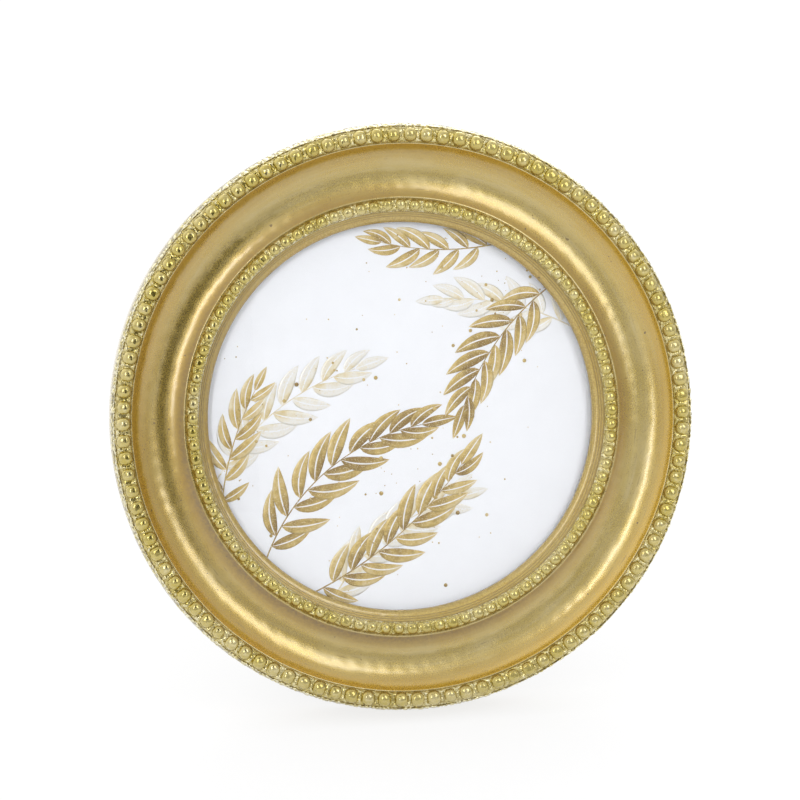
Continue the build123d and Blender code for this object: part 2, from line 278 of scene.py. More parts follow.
def ringLooks(radius, level, turn, across, bend, onFace, onRim):
    # rubbed edges, stained hollows, orange toning beside the bead rows and the back's dull paint, with painted
    # light:
    # highlights on the cove's outer arris and edge and on the lip's lower half, shade on the lip's left, on the
    # cove's inner edge towards the lower left and on the outer cove towards the upper left, and an orange
    # reflection on the left
    share = (radius - ring["coveInner"]) / (ring["coveOuter"] - ring["coveInner"])
    inCove = (share > 0) & (share < 1) & (level > seatLevel)
    inLip = radius < ring["lip"]
    onLip = inLip * (level > seatLevel + wearAndPaintedLight["lipLevel"])
    pastCove = radius > ring["coveOuter"] - wearAndPaintedLight["beforeArris"]
    onArris = pastCove & (radius < ring["stripStart"] + wearAndPaintedLight["pastArris"])
    # rub on convex corners; on the cove's outer arris it is raised to a painted highlight
    edgeRubAndPaintedHighlight = np.where(onArris, wearAndPaintedLight["arrisRubAndPaintedHighlight"], wearAndPaintedLight["cornerRub"]) * (bend > 0) * onFace
    # painted shade on the cove's inner edge, all round and strongest towards the lower left
    covePaintedShade = wearAndPaintedLight["covePaintedShade"] * (2 - np.cos(turn) - np.sin(turn))
    toning = 1 - ramp(share, 0, wearAndPaintedLight["toningInner"]) + ramp(share, 1 - wearAndPaintedLight["toningOuter"], 1)
    rounds = wearAndPaintedLight["streakRounds"]
    looks = dict(
        # the lip paler all round, with a painted highlight on its lower half
        rub=edgeRubAndPaintedHighlight + onLip * (wearAndPaintedLight["lipRub"] + wearAndPaintedLight["lipFootPaintedHighlight"] * facing(turn, -math.pi / 2)),
        patina_and_painted_shade=np.where(inLip, wearAndPaintedLight["lipHollow"], wearAndPaintedLight["hollow"]) * (bend < 0) + wearAndPaintedLight["rimStain"] * onRim
        # painted shade on the lip's left side
        + wearAndPaintedLight["lipPaintedShade"] * onLip * facing(turn, wearAndPaintedLight["lipPaintedShadeTurn"]) ** 3
        + inCove * (1 - ramp(share, *wearAndPaintedLight["covePaintedShadeFade"])) * covePaintedShade
        # painted shade on the outer part of the cove towards the upper left
        + inCove * ramp(share, *wearAndPaintedLight["outerCoveShadeStart"]) * wearAndPaintedLight["outerCovePaintedShade"] * facing(turn, wearAndPaintedLight["outerCoveShadeTurn"]),
        # toning beside the bead rows and on the lip, with a painted orange reflection on the cove's left side
        toned_and_painted_reflection=inCove * (toning + wearAndPaintedLight["leftPaintedReflection"] * facing(turn, wearAndPaintedLight["leftReflectionTurn"]) ** 2)
        + wearAndPaintedLight["lipToning"] * onLip,
        # a painted highlight of bright orange along the cove's outer edge
        edge=inCove * ramp(share, *wearAndPaintedLight["edgeHighlightStart"]),
        coarse=inLip * (level > seatLevel),
        rear=1 - ramp(level, *wearAndPaintedLight["rearFade"]),
    )
    looks = {label: np.broadcast_to(value, (len(radius), turn.size)) for label, value in looks.items()}
    streak = np.broadcast_arrays(across, rounds * np.cos(turn), rounds * np.sin(turn))
    return dict(looks, streak=np.stack(streak, axis=-1))


def makeRing():
    # the section carried round the axis; its face sways and dimples a little,
    # and its rim lies back under the grains
    section, bend = ringSection()
    turn = stepsRound(ring["turns"])[None, :]
    radius, level = section[:, :1], section[:, 1:]
    across = np.cumsum(np.hypot(*(section - np.roll(section, 1, axis=0)).T))[:, None]
    onFace = ramp(level - seatLevel, *skin["overSeat"]) * ramp(outerRadius - radius, *skin["offWall"])
    overFoot = ramp(level - widestLevel + rim["wallRun"], *skin["overFoot"])
    onRim = ramp(radius - ring["stripEnd"], *skin["pastStrip"]) * overFoot
    uneven = sum(skin[name + "Height"] * lumps(turn, across, **skin[name]) for name in ("sway", "dimple"))
    newLevel = level + onFace * uneven - onRim * (level > outerStripLevel) * rim["setBack"]
    newRadius = radius - onRim * rim["setBack"]
    looks = ringLooks(radius, level, turn, across, bend[:, None], onFace, onRim)
    return meshPiece("gilded_ring", *turnedSurface(newRadius, turn, newLevel), looks)


def makeRim():
    # a grainy skin over the rim: its outline runs from the beads over the roll
    # and down stand, shoulder and wall
    roll = bulge((ring["stripEnd"], rimTop), (ring["rimEdge"], rimTop), rollHeight, ring["rollSteps"])
    slide = np.linspace(0, 1, ring["shoulderSteps"])[:, None]
    shoulder = np.concatenate((ring["rimEdge"] + shoulderWidth * np.sin(slide * math.pi / 2),
                               rimFoot - ring["shoulderDrop"] * slide), axis=1)
    start = (ring["stripEnd"] - rim["reach"], outerStripLevel + rim["start"])
    end = (outerRadius - ring["wallDraft"] * rim["wallRun"] / widestLevel, widestLevel - rim["wallRun"])
    path = np.concatenate(([start], roll, shoulder, [end]))
    run = np.concatenate(([0], np.cumsum(np.hypot(*np.diff(path, axis=0).T))))
    across = np.linspace(0, run[-1], rim["rows"])
    line = np.stack([np.interp(across, run, path[:, k]) for k in (0, 1)], axis=1)
    along = np.gradient(line, axis=0)
    along /= np.linalg.norm(along, axis=1)[:, None]
    away = np.stack((-along[:, 1], along[:, 0]), axis=1)
    turn = stepsRound(rim["turns"])[None, :]
    grain = grains(turn, across[:, None], rim["size"], ring["rimEdge"], rim["seed"])
    ends = ramp(np.minimum(across, run[-1] - across), 0, rim["endRows"] * run[-1] / rim["rows"])[:, None]
    height = rim["relief"] * (grain - 1) * ends - rim["sunk"] * (1 - ends)
    radius = line[:, :1] + height * away[:, :1]
    level = line[:, 1:] + height * away[:, 1:]
    # paler peaks and brown pits: partly wear and dirt, partly painted glints and painted shade in the pits
    looks = dict(rub=rim["rub"] * ramp(grain, *rim["peaks"]), patina_and_painted_shade=1 - ramp(grain, *rim["pits"]),
                 coarse=np.zeros_like(grain), pit=np.full_like(grain, rim["pit"]))
    return meshPiece("grainy_rim", *turnedSurface(radius, turn, level), looks)


gildedRing = makeRing()
grainyRim = makeRim()
print("ring:", len(gildedRing.data.polygons), "faces, rim:", len(grainyRim.data.polygons), "faces")

# Bead rows

outerRow = dict(name="outer_bead_row", count=106, inner=ring["stripStart"], outer=ring["stripEnd"],
                level=outerStripLevel, radius=1.925, coveSide=-1, edges=(0.32, 0.6))
innerRow = dict(name="inner_bead_row", count=97, inner=ring["lip"], outer=ring["innerStrip"],
                level=innerStripLevel, radius=1.55, coveSide=1, edges=(0.32, 0.32))
bead = dict(
    rise=0.35, sunk=0.12, grid=8, smallest=0.9, shift=0.08, furthest=1.5, flattened=0.22, square=2.7,
    shoulder=0.8, crown=0.92, uneven=0.06, roughest=1.6, evenEdge=0.3, rubbedShare=0.4, rubbedAndPaintedHighlight=1.0,
    unrubbed=0.3, rubTop=(0.8, 1.0), farRub=0.4, farSide=(0.2, 0.8), farHeight=(0.1, 0.4), toning=0.85,
    toneSide=(0.25, 0.9), floorHeight=-0.3, coarse=0.2, pit=0.0,
)
spandrel = dict(
    floor=0.9, height=0.35, reach=0.6, saddle=0.2, fade=0.6, columns=20, rows=19, depth=0.35, grain=0.7,
    relief=0.24, seed=21, gapStain=0.25, gapReach=(0.1, 0.5), pitStain=0.8, pits=(0.05, 0.3),
    rubWeb=(0.1, 0.5), peaks=(0.25, 0.7), coarse=0.1, pit=0.5,
)


def makeBeads(row):
    # a bead is a dome past its own half, squared a little in plan, uneven in size, place and skin,
    # worn flat on top and closed below; its top is paler, partly rub wear and partly a painted highlight, its cove
    # side darker and more orange, partly toning and partly a painted shade and reflection of the cove, and its far
    # side rubbed
    count, full = row["count"], row["radius"]
    size = full * (1 - (1 - bead["smallest"]) * dice.random(count) ** 2)[:, None, None]
    shift = dice.standard_normal((2, count)).clip(-bead["furthest"], bead["furthest"])
    offset = bead["shift"] * shift[:, :, None, None]
    cap = 1 - bead["flattened"] * (dice.random(count) ** 2)[:, None, None]
    x, y = discGrid(bead["grid"])
    s = np.hypot(x, y)
    tilt = s * math.acos(-(bead["rise"] + bead["sunk"]) / full)
    reach = np.where(s > 0, s, 1)
    power = bead["square"]
    square = (np.abs(x / reach) ** power + np.abs(y / reach) ** power + (s == 0)) ** (-1 / power)
    wide = np.sin(tilt) ** bead["shoulder"] * (1 + (square - 1) * np.sin(tilt) ** 2) / reach
    pits = dice.standard_normal((count, *x.shape)).clip(-bead["roughest"], bead["roughest"])
    rough = 1 + bead["uneven"] * pits * ramp(1 - s, 0, bead["evenEdge"])
    dome = np.sign(np.cos(tilt)) * np.abs(np.cos(tilt)) ** bead["crown"]
    high = (np.minimum(dome[None], cap) * rough).clip(None, 1)
    turn = stepsRound(count, -math.pi / 2)[:, None, None]
    outward = (row["inner"] + row["outer"]) / 2 + offset[0] + size * wide * x
    along = offset[1] + size * wide * y
    points = inRow(
        outward * np.cos(turn) - along * np.sin(turn), outward * np.sin(turn) + along * np.cos(turn),
        row["level"] + bead["rise"] + size * high,
    ).reshape(count, -1, 3)
    side = bead["grid"]
    number = np.arange(side * side).reshape(side, side)
    border = np.concatenate((number[:-1, 0], number[-1, :-1], number[:0:-1, -1], number[0, :0:-1]))
    floor = points[:, border].mean(axis=1, keepdims=True)
    points = np.concatenate((points, floor), axis=1)
    start = np.arange(0, len(border), 2)
    fan = np.stack((border[start], border[start + 1], border[(start + 2) % len(border)],
                    np.full(len(start), side * side)), axis=1)
    one = outwardFaces(points[0], np.concatenate((gridFaces(side, side), fan)))
    faces = copiedFaces(one, points.shape[1], count)
    # a paler top, partly rub wear and partly a painted highlight
    worn = np.where(dice.random(count) < bead["rubbedShare"], bead["rubbedAndPaintedHighlight"], bead["unrubbed"])[:, None]
    top = np.concatenate((high.reshape(count, -1), np.full((count, 1), bead["floorHeight"])), axis=1)
    lean = np.concatenate(((row["coveSide"] * wide * x).ravel(), np.zeros(1)))[None]
    # the cove side darker and more orange, partly toning and partly a painted shade and reflection of the cove
    darkening = np.broadcast_to(bead["toning"] * ramp(lean, *bead["toneSide"]), top.shape)
    far = bead["farRub"] * ramp(-lean, *bead["farSide"]) * ramp(top, *bead["farHeight"])
    rub = np.maximum(worn * ramp(top, *bead["rubTop"]), far)
    return points.reshape(-1, 3), faces, rub.ravel(), darkening.ravel()


def makeSpandrels(row):
    # ground between the beads: it rises with the distance from the nearest bead's edge, so that a curved
    # three-cornered web stands in every notch, with a saddle between neighbours, and falls to the edges
    columns = row["count"] * spandrel["columns"]
    turn = stepsRound(columns, -math.pi / 2)[None, :]
    radius = np.linspace(row["inner"], row["outer"], spandrel["rows"])[:, None]
    middle = (row["inner"] + row["outer"]) / 2
    offCentre = np.abs(radius - middle)
    pitch = 2 * math.pi / row["count"]
    fromBead = ((turn + math.pi / 2 + pitch / 2) % pitch - pitch / 2) * radius
    gap = np.hypot(fromBead, offCentre) - row["radius"]
    web = np.clip(gap / spandrel["reach"], 0, 1)
    grain = grains(turn, radius, spandrel["grain"], row["outer"], spandrel["seed"])
    inside = ramp((row["outer"] - row["inner"]) / 2 - offCentre, 0, spandrel["fade"])
    saddle = spandrel["saddle"] * np.clip(1 - (offCentre / row["radius"]) ** 2, 0, 1)
    edge = np.where(radius < middle, *row["edges"])
    ground = spandrel["floor"] + spandrel["height"] * web + saddle + spandrel["relief"] * (grain - 0.5)
    height = edge + inside * (ground - edge)
    bottom = np.full((1, columns), row["level"] - spandrel["depth"])
    level = np.concatenate((bottom, row["level"] + height, bottom))
    radius = np.concatenate((radius[:1], radius, radius[-1:]))
    points, faces = turnedSurface(radius, turn, level)
    narrow = spandrel["gapStain"] * (1 - ramp(offCentre / row["radius"], *spandrel["gapReach"]))
    darkening = np.maximum(narrow, spandrel["pitStain"] * (1 - ramp(grain, *spandrel["pits"])))
    rub = ramp(web, *spandrel["rubWeb"]) * ramp(grain, *spandrel["peaks"])
    none = np.zeros_like(bottom)
    rub, darkening = (np.concatenate((none, part, none)).ravel() for part in (rub, darkening))
    return points, faces, rub, darkening


def beadRowPiece(row):
    # the beads and the ground between them in one piece
    points, faces, rub, darkening = zip(makeBeads(row), makeSpandrels(row))
    counts = [len(part) for part in points]
    looks = dict(rub=np.concatenate(rub), patina_and_painted_shade=np.concatenate(darkening))
    for label in ("coarse", "pit"):
        looks[label] = np.repeat((bead[label], spandrel[label]), counts)
    faces = np.concatenate((faces[0], faces[1] + counts[0]))
    return meshPiece(row["name"], np.concatenate(points), faces, looks)


outerBeads = beadRowPiece(outerRow)
innerBeads = beadRowPiece(innerRow)
print("bead rows:", len(outerBeads.data.polygons), len(innerBeads.data.polygons), "faces")

for piece in (gildedRing, grainyRim, outerBeads, innerBeads):
    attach(piece, "frame")
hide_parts("frame_moulding")

# Print behind the glass

paper = dict(radius=50.8, setBack=0.05, thickness=0.27, grid=41)
foil = dict(setBack=0.045, thickness=0.015, within=50.3, layer=0.00025, deepest=0.04)
stem = dict(width=0.36, taper=0.6, steps=28, shade=0.2, offRib=0.6)
leaf = dict(
    lengthwise=11, crosswise=7, first=0.1, lastSide=0.1, splay=66, splayFall=30, splayJitter=6,
    shortest=0.62, swell=0.38, swellStart=0.15, swellRun=0.75, lengthLow=0.9, lengthJitter=0.2, curl=-0.35,
    curlLow=0.6, curlJitter=0.8, ovalShift=0.82, ovalPower=0.8, toneJitter=0.15, shadeFoot=0.15,
    shadeRise=0.75, shadeSide=0.25,
)
fleck = dict(
    count=26, along=1.15, away=9, smallest=0.12, spread=0.42, rarity=4, grid=4, shade=0.35, offRib=0.7,
)
sprigs = [
    dict(root=(-47, -14), heading=58, bend=-44, length=46, leaves=15, leaf=11.0, width=0.34, tone=1.5),
    dict(root=(-20, -47), heading=62, bend=-50, length=44, leaves=15, leaf=11.0, width=0.34, tone=1.45),
    dict(root=(45, 20), heading=150, bend=30, length=34, leaves=13, leaf=9.5, width=0.34, tone=1.5),
    dict(root=(-36, -36), heading=70, bend=-62, length=56, leaves=19, leaf=13.0, width=0.30, tone=0.1),
    dict(root=(-26, -44), heading=22, bend=30, length=52, leaves=18, leaf=12.0, width=0.31, tone=0.3),
    dict(root=(-46, -22), heading=84, bend=-24, length=32, leaves=12, leaf=10.0, width=0.30, tone=0.5),
    dict(root=(40, 31), heading=214, bend=34, length=38, leaves=15, leaf=11.5, width=0.30, tone=0.2),
    dict(root=(27, 42), heading=190, bend=-26, length=30, leaves=12, leaf=9.5, width=0.31, tone=0.45),
]
printFront = nodeLevels("photo_insert")[1]


def solidSheet(piece, thickness):
    # a flat sheet becomes a closed one, grown away from its face
    thicken = piece.modifiers.new("thickness", "SOLIDIFY")
    thicken.thickness = thickness * mm
    thicken.offset = -1
    return piece


def makePaper():
    # a round sheet just under the print's front
    x, y = discGrid(paper["grid"])
    points = inRow(paper["radius"] * x, paper["radius"] * y, printFront - paper["setBack"])
    return solidSheet(meshPiece("photo_paper", points, gridFaces(*x.shape)), paper["thickness"])


def stemPoint(sprig, t):
    # a stem is an arc of a circle: its heading turns evenly along its length
    start, bend = math.radians(sprig["heading"]), math.radians(sprig["bend"])
    heading = start + bend * t
    radius = sprig["length"] / bend
    x = sprig["root"][0] + radius * (np.sin(heading) - math.sin(start))
    y = sprig["root"][1] - radius * (np.cos(heading) - math.cos(start))
    return x, y, heading


def pack(one, *values):
    # copies of one grid, first index the copy: a row for each value and for the copy's number, and the quads
    values = np.broadcast_arrays(*values)
    count, size = len(values[0]), values[0][0].size
    rows = [value.ravel() for value in values] + [np.repeat(np.arange(count), size)]
    return np.array(rows), copiedFaces(one, size, count)


def makeLeaves(sprig):
    # leaves stand by turns on both sides of the stem; each is a curled line widened to an oval
    t = np.linspace(leaf["first"], 1, sprig["leaves"])
    x, y, heading = stemPoint(sprig, t)
    side = np.where(np.arange(len(t)) % 2, 1.0, -1.0)
    side[-1] = leaf["lastSide"]
    splay = leaf["splay"] - leaf["splayFall"] * t + leaf["splayJitter"] * dice.standard_normal(len(t))
    swell = leaf["shortest"] + leaf["swell"] * np.sin(math.pi * (leaf["swellStart"] + leaf["swellRun"] * t))
    length = sprig["leaf"] * swell * (leaf["lengthLow"] + leaf["lengthJitter"] * dice.random(len(t)))
    curl = leaf["curl"] * side * (leaf["curlLow"] + leaf["curlJitter"] * dice.random(len(t)))
    tone = sprig["tone"] + leaf["toneJitter"] * dice.standard_normal(len(t))
    x, y, side, heading, length, curl, tone = (
        a[:, None, None] for a in (x, y, side, heading + side * np.radians(splay), length, curl, tone)
    )
    u = np.linspace(0, 1, leaf["lengthwise"])[None, :, None]
    v = np.linspace(-1, 1, leaf["crosswise"])[None, None, :]
    way = heading + curl * u
    half = 0.5 * sprig["width"] * length * np.sin(math.pi * u ** leaf["ovalShift"]) ** leaf["ovalPower"]
    leafX = x + length * u * np.cos(way) - half * v * np.sin(way)
    leafY = y + length * u * np.sin(way) + half * v * np.cos(way)
    shade = np.clip(leaf["shadeFoot"] + leaf["shadeRise"] * u + leaf["shadeSide"] * v * side, 0, 1)
    return pack(gridFaces(leaf["lengthwise"], leaf["crosswise"]), leafX, leafY, shade, np.abs(v), tone)


def makeStem(sprig):
    # a narrow band along the arc, tapering to its tip
    t = np.linspace(0, 1, stem["steps"])[:, None]
    x, y, heading = stemPoint(sprig, t)
    off = stem["width"] / 2 * (1 - stem["taper"] * t) * np.array((-1.0, 1.0))
    x, y = x - off * np.sin(heading), y + off * np.cos(heading)
    return pack(gridFaces(stem["steps"], 2), x[None], y[None], stem["shade"], stem["offRib"], sprig["tone"])


def makeFlecks():
    # small round flecks of foil strewn about the sprigs
    spots = []
    for sprig in sprigs:
        spot = np.array(stemPoint(sprig, dice.random(fleck["count"]) * fleck["along"])[:2])
        spots.append(spot + fleck["away"] * dice.standard_normal(spot.shape))
    x, y = np.concatenate(spots, axis=1)[:, :, None, None]
    size = (fleck["smallest"] + fleck["spread"] * dice.random(len(x)) ** fleck["rarity"])[:, None, None]
    discX, discY = discGrid(fleck["grid"])
    tone = dice.random(len(x))[:, None, None]
    one = gridFaces(*discX.shape)
    return pack(one, x + size * discX, y + size * discY, fleck["shade"], fleck["offRib"], tone)


def makePrint():
    # every leaf, stem and fleck in one flat piece, kept on the paper, each a little above the one before
    parts = [make(sprig) for sprig in sprigs for make in (makeLeaves, makeStem)] + [makeFlecks()]
    start = layers = 0
    for rows, quads in parts:
        quads += start
        rows[-1] += layers
        start, layers = start + rows.shape[1], rows[-1, -1] + 1
    x, y, shade, offRib, tone, layer = np.concatenate([rows for rows, quads in parts], axis=1)
    faces = np.concatenate([quads for rows, quads in parts])
    shrink = np.minimum(1, foil["within"] / np.maximum(np.hypot(x, y), 1e-6))
    level = printFront - foil["setBack"] + np.minimum(foil["layer"] * layer, foil["deepest"])
    points = inRow(x * shrink, y * shrink, level)
    a, b, c = (points[faces[:, k]] for k in (0, 1, 2))
    away = np.cross(b - a, c - a) @ frontward < 0
    faces[away] = faces[away][:, ::-1]
    piece = meshPiece("printed_sprigs", points, faces, dict(shade=shade, offRib=offRib, tone=tone))
    return solidSheet(piece, foil["thickness"])


photoPaper = makePaper()
printedSprigs = makePrint()
for piece in (photoPaper, printedSprigs):
    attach(piece, "frame")
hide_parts("photo_insert")
print("print:", len(printedSprigs.data.polygons), "faces")

# Materials: tools for node trees


def newMaterial(name, **settings):
    # a node material whose shader holds every plain value itself
    material = bpy.data.materials.new(name)
    material.use_nodes = True
    shader = material.node_tree.nodes["Principled BSDF"]
    for label, value in settings.items():
        shader.inputs[label.replace("_", " ")].default_value = value
    return material, material.node_tree, shader


def feed(tree, value, socket):
    # a socket takes either a link or a plain value; a colour is written as three numbers
    if isinstance(value, bpy.types.NodeSocket):
        tree.links.new(value, socket)
    elif isinstance(value, tuple) and len(value) == 3 and socket.type == "RGBA":
        socket.default_value = (*value, 1.0)
    else:
        socket.default_value = value


def addNode(tree, kind, inputs, **settings):
    # a node with its settings, its inputs fed by name or number; its outputs come back
    node = tree.nodes.new("ShaderNode" + kind)
    for label, value in settings.items():
        setattr(node, label, value)
    for label, value in inputs.items():
        feed(tree, value, node.inputs[label])
    return node.outputs


def objectPlace(tree):
    # a point's place in its object, in metres
    return addNode(tree, "TexCoord", {})["Object"]


def attributeOf(tree, name, kind="Fac"):
    # a value that the mesh holds for each of its points
    return addNode(tree, "Attribute", {}, attribute_name=name)[kind]


def noisesOf(tree, vector, look, *names):
    # a noise for each name; the look holds its scale, its detail and, where it isn't a half, its roughness
    labels = ("Scale", "Detail", "Roughness")
    return [addNode(tree, "TexNoise", dict(zip(labels, look[name]), Vector=vector))["Fac"] for name in names]


def remap(tree, value, fromLow, fromHigh, low=0.0, high=1.0):
    # a value carried from one range to another and held at its ends
    inputs = {"Value": value, "From Min": fromLow, "From Max": fromHigh, "To Min": low, "To Max": high}
    return addNode(tree, "MapRange", inputs)["Result"]


def mixColour(tree, share, first, second, mode="MIX"):
    # the first colour, and the second by a share
    return addNode(tree, "Mix", {0: share, 6: first, 7: second}, data_type="RGBA", blend_type=mode)[2]


def maths(tree, operation, first, second=0.0, clamp=False):
    # one operation on two values, held between 0 and 1 where asked
    return addNode(tree, "Math", {0: first, 1: second}, operation=operation, use_clamp=clamp)["Value"]


def chain(tree, operation, values):
    # several values joined one after another by one operation
    result = values[0]
    for value in values[1:]:
        result = maths(tree, operation, result, value)
    return result


def total(tree, *values):
    return chain(tree, "ADD", values)


def product(tree, *values):
    return chain(tree, "MULTIPLY", values)


def largest(tree, *values):
    return chain(tree, "MAXIMUM", values)


def dress(tree, shader, look, colour, gloss, height):
    # a shader's colour and roughness, and its bump: the look holds its strength and its depth in millimetres
    strength, depth = look["bump"]
    bump = addNode(tree, "Bump", dict(Height=height, Strength=strength, Distance=depth * mm))["Normal"]
    for label, value in {"Base Color": colour, "Roughness": gloss, "Normal": bump}.items():
        feed(tree, value, shader.inputs[label])


def blendShader(tree, share, shader, kind):
    # the material's surface is its own shader, and one of another kind by a share
    other = addNode(tree, kind, {})[0]
    mixed = addNode(tree, "MixShader", {0: share, 1: shader.outputs[0], 2: other})[0]
    feed(tree, mixed, tree.nodes["Material Output"].inputs["Surface"])


# Gilding: gold over a brown ground, for the ring and its beads; a range says from which values a noise
# runs and, where they aren't 0 and 1, to which

gilt = dict(
    cloud=(95, 3.0), grain=(2700, 2.0), fine=(7500, 1.0), lumpy=(1400, 2.0, 0.6), speck=(640, 1.0),
    brush=(0.9, 3.0, 0.6), line=(2.2, 1.0), stippleScale=2200, domeRange=(0.15, 0.6, 1.0, 0.0), domePale=0.6,
    valleyRange=(0.3, 0.65, 0.0, 0.22), speckRange=(0.77, 0.80), speckBrown=0.85, rubRange=(0.35, 0.6),
    cloudPale=(0.42, 0.72, 0.0, 0.5), brushPale=(0.42, 0.7, 0.0, 0.55), stainRange=(0.25, 0.65, 0.55, 1.0),
    lineRange=(0.66, 0.74), lineCloud=(0.45, 0.6, 0.0, 0.4), dapple=(0.7, 1.3, 0.94, 1.05),
    grainGloss=(0.3, 0.7, -0.05, 0.07), cloudGloss=(0.3, 0.7, -0.03, 0.05), brownGloss=0.22, coarseGloss=0.06,
    heights=dict(grain=0.9, fine=0.45, brush=1.0, specks=-0.5, domes=4.0, lumps=4.0),
)
gildingSockets = [
    ("INPUT", "Vector", ("Place", "Streak")), ("INPUT", "Color", ("Gold", "Pale", "Brown")),
    ("INPUT", "Float", ("Rub", "Patina_And_Painted_Shade", "Coarse", "Gloss")),
    ("OUTPUT", "Color", ("Colour",)), ("OUTPUT", "Float", ("Roughness", "Height")),
]
ringFinish = dict(
    plain=dict(Metallic=0.88, Coat_Weight=0.9, Coat_Roughness=0.2, Coat_IOR=2.0), gloss=0.27,
    bump=(0.22, 0.1), gold=(0.46, 0.33, 0.055), pale=(0.51, 0.40, 0.15), brown=(0.15, 0.092, 0.02),
    # the toned colours also paint an orange reflection on the cove's left; the edge colours paint a bright orange
    # highlight along the cove's outer edge
    toned_and_painted_reflection=((0.455, 0.262, 0.0), (0.49, 0.32, 0.01)), edge=((0.62, 0.395, 0.02), (0.62, 0.395, 0.02)),
    rear=((0.19, 0.13, 0.05), (0.25, 0.18, 0.07)),
)
beadFinish = dict(
    plain=dict(Metallic=0.9, Coat_Weight=0.95, Coat_Roughness=0.07, Coat_IOR=1.65), gloss=0.1,
    bump=(0.22, 0.1), gold=(0.46, 0.355, 0.03), pale=(0.62, 0.53, 0.25), toned_and_painted_reflection=(0.35, 0.225, 0.012),
    # paler peaks and brown pits on webs and rim, partly painted glints and painted shade
    pitBrownAndPaintedShade=(0.13, 0.095, 0.02), peakPaleAndPaintedGlint=(0.82, 0.76, 0.5),
)


def gildingGroup():
    # tone: cloudy and brushed gold, pale where rubbed and where a highlight is painted, brown in hollows and where
    # shade is painted, worn lines and specks; height: grain, brush marks and, where it is coarse, domes and lumps
    tree = bpy.data.node_groups.new("gilding", "ShaderNodeTree")
    for direction, kind, labels in gildingSockets:
        for label in labels:
            tree.interface.new_socket(label, in_out=direction, socket_type="NodeSocket" + kind)
    given, result = tree.nodes.new("NodeGroupInput").outputs, tree.nodes.new("NodeGroupOutput").inputs
    place, coarse = given["Place"], given["Coarse"]
    cloud, grain, fine, lumpy, speck = noisesOf(tree, place, gilt, "cloud", "grain", "fine", "lumpy", "speck")
    brush, line = noisesOf(tree, given["Streak"], gilt, "brush", "line")
    cells = addNode(tree, "TexVoronoi", dict(Vector=place, Scale=gilt["stippleScale"]))["Distance"]
    domes, valleys = (
        product(tree, coarse, remap(tree, cells, *gilt[name])) for name in ("domeRange", "valleyRange")
    )
    specks = remap(tree, speck, *gilt["speckRange"])
    rubbedAndPaintedHighlight = product(tree, given["Rub"], remap(tree, lumpy, *gilt["rubRange"]))
    paleShare = total(tree, remap(tree, cloud, *gilt["cloudPale"]), remap(tree, brush, *gilt["brushPale"]),
                      rubbedAndPaintedHighlight, product(tree, domes, gilt["domePale"]))
    tone = mixColour(tree, maths(tree, "MINIMUM", paleShare, 1.0), given["Gold"], given["Pale"])
    darkening = product(tree, given["Patina_And_Painted_Shade"], remap(tree, lumpy, *gilt["stainRange"]))
    lines = product(tree, remap(tree, line, *gilt["lineRange"]), remap(tree, cloud, *gilt["lineCloud"]))
    brownShare = largest(tree, darkening, valleys, lines, product(tree, specks, gilt["speckBrown"]))
    tone = mixColour(tree, brownShare, tone, given["Brown"])
    dapple = remap(tree, total(tree, grain, fine), *gilt["dapple"])
    feed(tree, mixColour(tree, 1.0, tone, dapple, "MULTIPLY"), result["Colour"])
    gloss = total(tree, given["Gloss"], remap(tree, grain, *gilt["grainGloss"]),
                  remap(tree, cloud, *gilt["cloudGloss"]), product(tree, brownShare, gilt["brownGloss"]),
                  product(tree, coarse, gilt["coarseGloss"]))
    feed(tree, maths(tree, "ADD", gloss, 0.0, True), result["Roughness"])
    bumps = dict(
        grain=grain, fine=fine, brush=brush, specks=specks, domes=domes, lumps=product(tree, coarse, lumpy),
    )
    height = total(tree, *(product(tree, bumps[name], share) for name, share in gilt["heights"].items()))
    feed(tree, height, result["Height"])
    return tree


gilding = gildingGroup()


def gild(tree, shader, look, streak, gold, pale, brown):
    # the gilding with a piece's own colours, its wear and its painted light
    inputs = dict(Place=objectPlace(tree), Streak=streak, Gold=gold, Pale=pale, Brown=brown,
                  Gloss=look["gloss"])
    inputs.update({name.title(): attributeOf(tree, name) for name in ("rub", "patina_and_painted_shade", "coarse")})
    effect = addNode(tree, "Group", inputs, node_tree=gilding)
    dress(tree, shader, look, effect["Colour"], effect["Roughness"], effect["Height"])


def ringGold():
    # satin gold, toned orange beside the bead rows, with a painted orange reflection on the cove's left, a painted
    # bright orange highlight along the cove's outer edge, and dull bronze paint on the back; each of these tones
    # has a gold and a pale colour
    look = ringFinish
    material, tree, shader = newMaterial("satin_gold", **look["plain"])
    gold, pale = look["gold"], look["pale"]
    for name in ("toned_and_painted_reflection", "edge", "rear"):
        share = attributeOf(tree, name)
        gold, pale = (mixColour(tree, share, old, new) for old, new in zip((gold, pale), look[name]))
    gild(tree, shader, look, attributeOf(tree, "streak", "Vector"), gold, pale, look["brown"])
    return material


def beadGold():
    # burnished gold, paler on worn tops, partly rub wear and partly a painted highlight, and darker on the cove
    # side, partly toning and partly painted shade; webs and rim have paler peaks and brown pits, partly wear and
    # dirt, partly painted glints and painted shade
    look = beadFinish
    material, tree, shader = newMaterial("burnished_gold", **look["plain"])
    pit = attributeOf(tree, "pit")
    pale = mixColour(tree, pit, look["pale"], look["peakPaleAndPaintedGlint"])
    brown = mixColour(tree, pit, look["toned_and_painted_reflection"], look["pitBrownAndPaintedShade"])
    gild(tree, shader, look, objectPlace(tree), look["gold"], pale, brown)
    return material


gildedRing.data.materials.append(ringGold())
burnishedGold = beadGold()
for piece in (outerBeads, innerBeads, grainyRim):
    piece.data.materials.append(burnishedGold)

# Paper, foil, glass, card, flock and zinc

